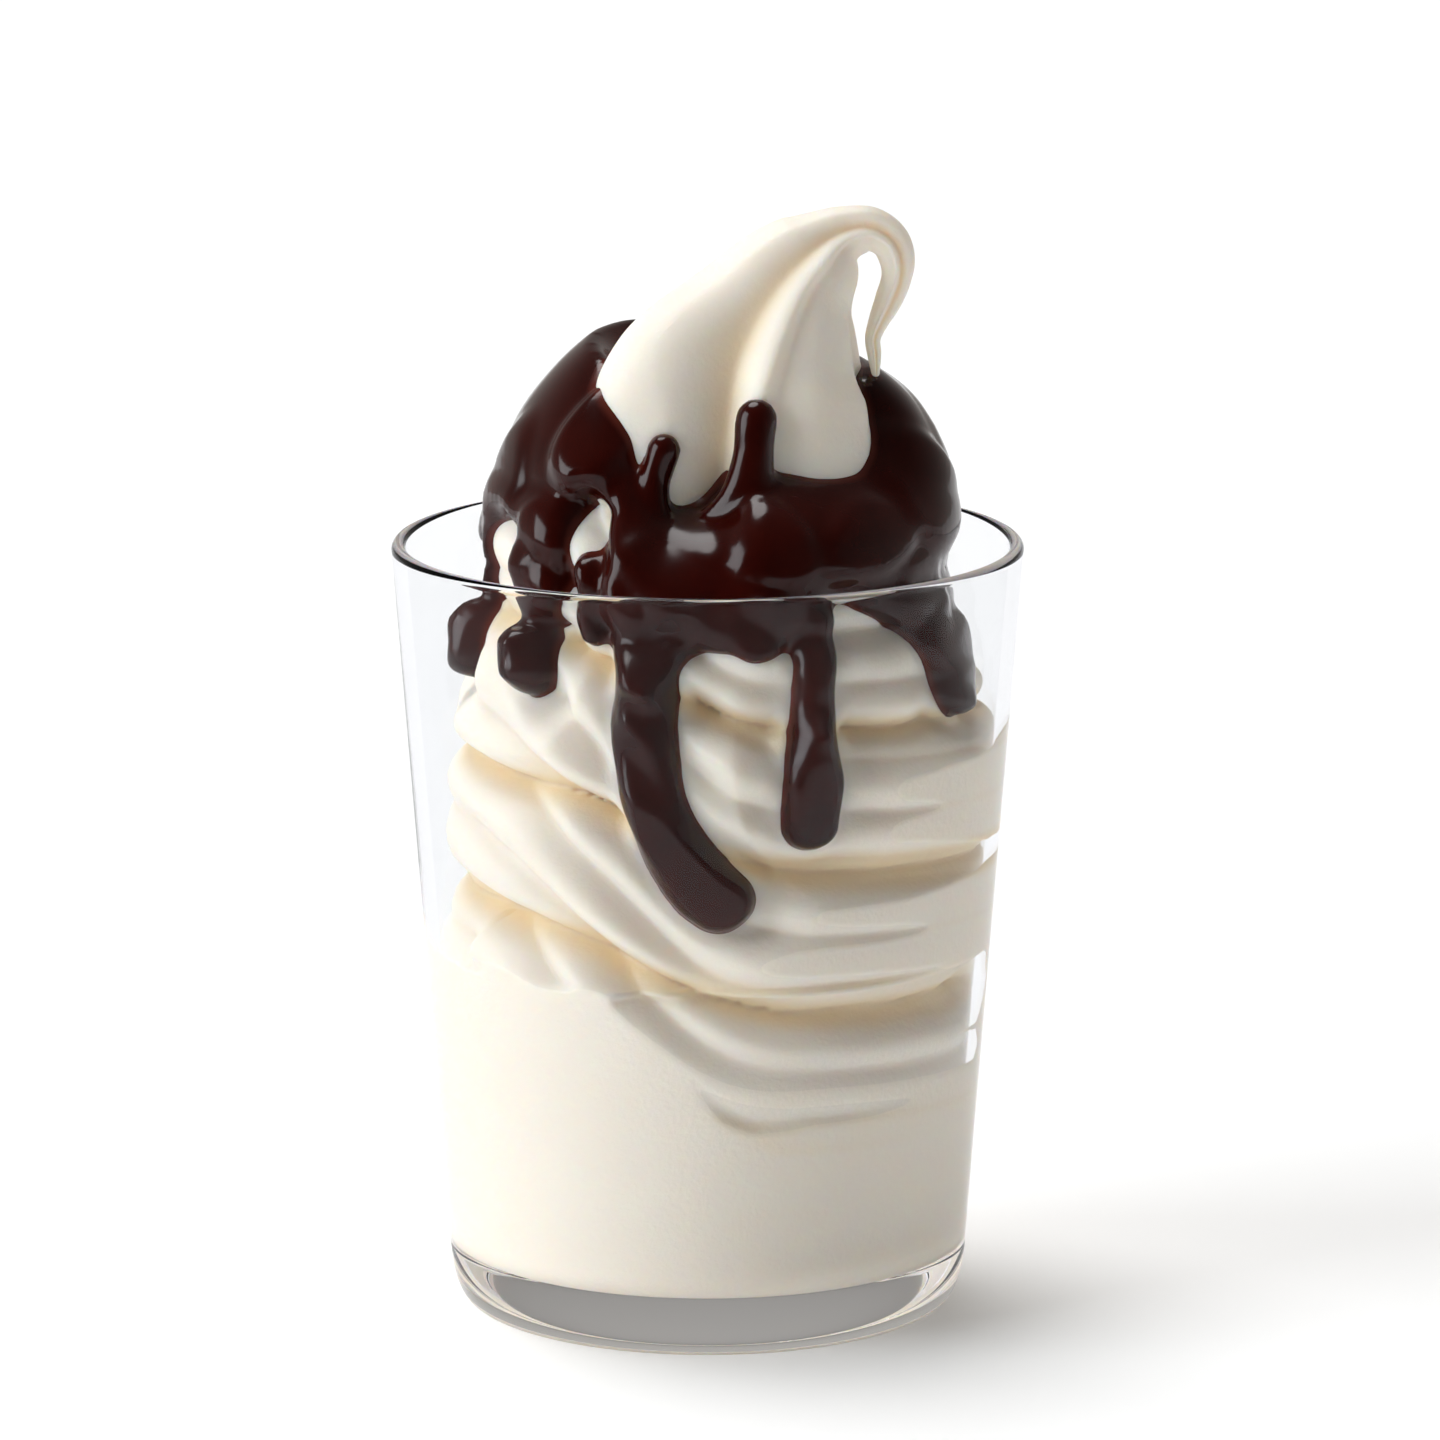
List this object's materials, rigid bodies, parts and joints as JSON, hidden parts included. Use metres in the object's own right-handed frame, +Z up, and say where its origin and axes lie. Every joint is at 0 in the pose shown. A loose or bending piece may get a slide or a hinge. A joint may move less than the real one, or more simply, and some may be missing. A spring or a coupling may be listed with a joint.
{
  "type": "hot fudge sundae",
  "caption": "Vanilla soft serve swirled up in a clear tapered tumbler, with a curled tip and glossy hot fudge running down it in thick drips.",
  "frame": {"origin": "centre of the tumbler's foot, on the surface it stands on", "axes": "+Z up along the tumbler's axis; the side shown in the picture faces -Y, and the curled tip leans to +X"},
  "size_m": [0.0878, 0.0878, 0.155],
  "materials": {
    "clear_glass": "clear, smooth, fire-polished rim, thick foot",
    "vanilla_soft_serve": "warm white ice cream, soft and slightly moist, fine icy grain on the ridges, cream-yellow in the creases",
    "hot_fudge": "very dark brown, thick, wet and glossy"
  },
  "bodies": {
    "root": {"glass_tumbler": "clear_glass", "soft_serve": "vanilla_soft_serve", "hot_fudge": "hot_fudge"}
  },
  "joints": []
}
